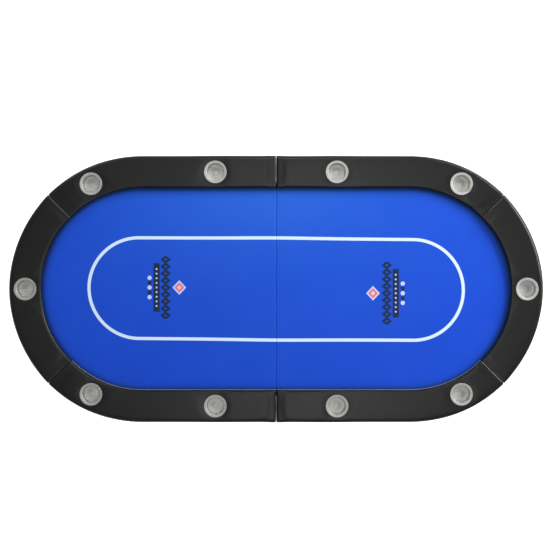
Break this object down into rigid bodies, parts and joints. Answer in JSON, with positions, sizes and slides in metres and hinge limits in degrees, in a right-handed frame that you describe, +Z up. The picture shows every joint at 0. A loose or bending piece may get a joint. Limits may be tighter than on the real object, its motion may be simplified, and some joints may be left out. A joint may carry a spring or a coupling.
{
  "type": "folding card table top",
  "caption": "Oval folding card table top in two hinged halves, with blue cloth, a padded black rail in sections and drop-in metal cup holders.",
  "frame": {"origin": "middle of the oval in plan, level with the underside of the rubber feet", "axes": "+X along the oval's length, towards the half that folds; +Y across it; +Z up out of the playing surface; the fold line runs along Y at X = 0"},
  "size_m": [2.134, 1.067, 0.0509],
  "materials": {
    "board": "satin",
    "underlay_foam": "matte",
    "blue_cloth": "matte",
    "rail_core": "matte",
    "rail_foam": "matte",
    "black_vinyl": "satin",
    "cup_aluminium": "satin",
    "hinge_steel": "satin",
    "foot_rubber": "matte"
  },
  "bodies": {
    "left_half": {"left_board": "board", "left_underlay": "underlay_foam", "left_cloth": "blue_cloth", "left_back_core": "rail_core", "left_back_pad": "rail_foam", "left_back_cover": "black_vinyl", "left_end_core": "rail_core", "left_end_pad": "rail_foam", "left_end_cover": "black_vinyl", "left_front_core": "rail_core", "left_front_pad": "rail_foam", "left_front_cover": "black_vinyl", "left_foot_1": "foot_rubber", "left_foot_2": "foot_rubber", "left_foot_3": "foot_rubber", "left_foot_4": "foot_rubber", "back_hinge_left_leaf": "hinge_steel", "back_hinge_pin": "hinge_steel", "middle_hinge_left_leaf": "hinge_steel", "middle_hinge_pin": "hinge_steel", "front_hinge_left_leaf": "hinge_steel", "front_hinge_pin": "hinge_steel"},
    "left_end_cup": {"left_end_cup": "cup_aluminium"},
    "left_back_corner_cup": {"left_back_corner_cup": "cup_aluminium"},
    "left_back_side_cup": {"left_back_side_cup": "cup_aluminium"},
    "left_front_corner_cup": {"left_front_corner_cup": "cup_aluminium"},
    "left_front_side_cup": {"left_front_side_cup": "cup_aluminium"},
    "right_half": {"right_board": "board", "right_underlay": "underlay_foam", "right_cloth": "blue_cloth", "right_back_core": "rail_core", "right_back_pad": "rail_foam", "right_back_cover": "black_vinyl", "right_end_core": "rail_core", "right_end_pad": "rail_foam", "right_end_cover": "black_vinyl", "right_front_core": "rail_core", "right_front_pad": "rail_foam", "right_front_cover": "black_vinyl", "right_foot_1": "foot_rubber", "right_foot_2": "foot_rubber", "right_foot_3": "foot_rubber", "right_foot_4": "foot_rubber", "back_hinge_right_leaf": "hinge_steel", "middle_hinge_right_leaf": "hinge_steel", "front_hinge_right_leaf": "hinge_steel"},
    "right_end_cup": {"right_end_cup": "cup_aluminium"},
    "right_back_corner_cup": {"right_back_corner_cup": "cup_aluminium"},
    "right_back_side_cup": {"right_back_side_cup": "cup_aluminium"},
    "right_front_corner_cup": {"right_front_corner_cup": "cup_aluminium"},
    "right_front_side_cup": {"right_front_side_cup": "cup_aluminium"}
  },
  "joints": [
    {"name": "board_fold", "type": "hinge", "parent": "left_half", "child": "right_half", "pos_m": [0, 0, 0.0036], "axis": [0, 1, 0], "range_deg": [0, 180]},
    {"name": "cup_left_end_lift", "type": "slide", "parent": "left_half", "child": "left_end_cup", "axis": [0, 0, 1], "range_m": [0, 0.045]},
    {"name": "cup_left_back_corner_lift", "type": "slide", "parent": "left_half", "child": "left_back_corner_cup", "axis": [0, 0, 1], "range_m": [0, 0.045]},
    {"name": "cup_left_back_side_lift", "type": "slide", "parent": "left_half", "child": "left_back_side_cup", "axis": [0, 0, 1], "range_m": [0, 0.045]},
    {"name": "cup_left_front_corner_lift", "type": "slide", "parent": "left_half", "child": "left_front_corner_cup", "axis": [0, 0, 1], "range_m": [0, 0.045]},
    {"name": "cup_left_front_side_lift", "type": "slide", "parent": "left_half", "child": "left_front_side_cup", "axis": [0, 0, 1], "range_m": [0, 0.045]},
    {"name": "cup_right_end_lift", "type": "slide", "parent": "right_half", "child": "right_end_cup", "axis": [0, 0, 1], "range_m": [0, 0.045]},
    {"name": "cup_right_back_corner_lift", "type": "slide", "parent": "right_half", "child": "right_back_corner_cup", "axis": [0, 0, 1], "range_m": [0, 0.045]},
    {"name": "cup_right_back_side_lift", "type": "slide", "parent": "right_half", "child": "right_back_side_cup", "axis": [0, 0, 1], "range_m": [0, 0.045]},
    {"name": "cup_right_front_corner_lift", "type": "slide", "parent": "right_half", "child": "right_front_corner_cup", "axis": [0, 0, 1], "range_m": [0, 0.045]},
    {"name": "cup_right_front_side_lift", "type": "slide", "parent": "right_half", "child": "right_front_side_cup", "axis": [0, 0, 1], "range_m": [0, 0.045]}
  ]
}
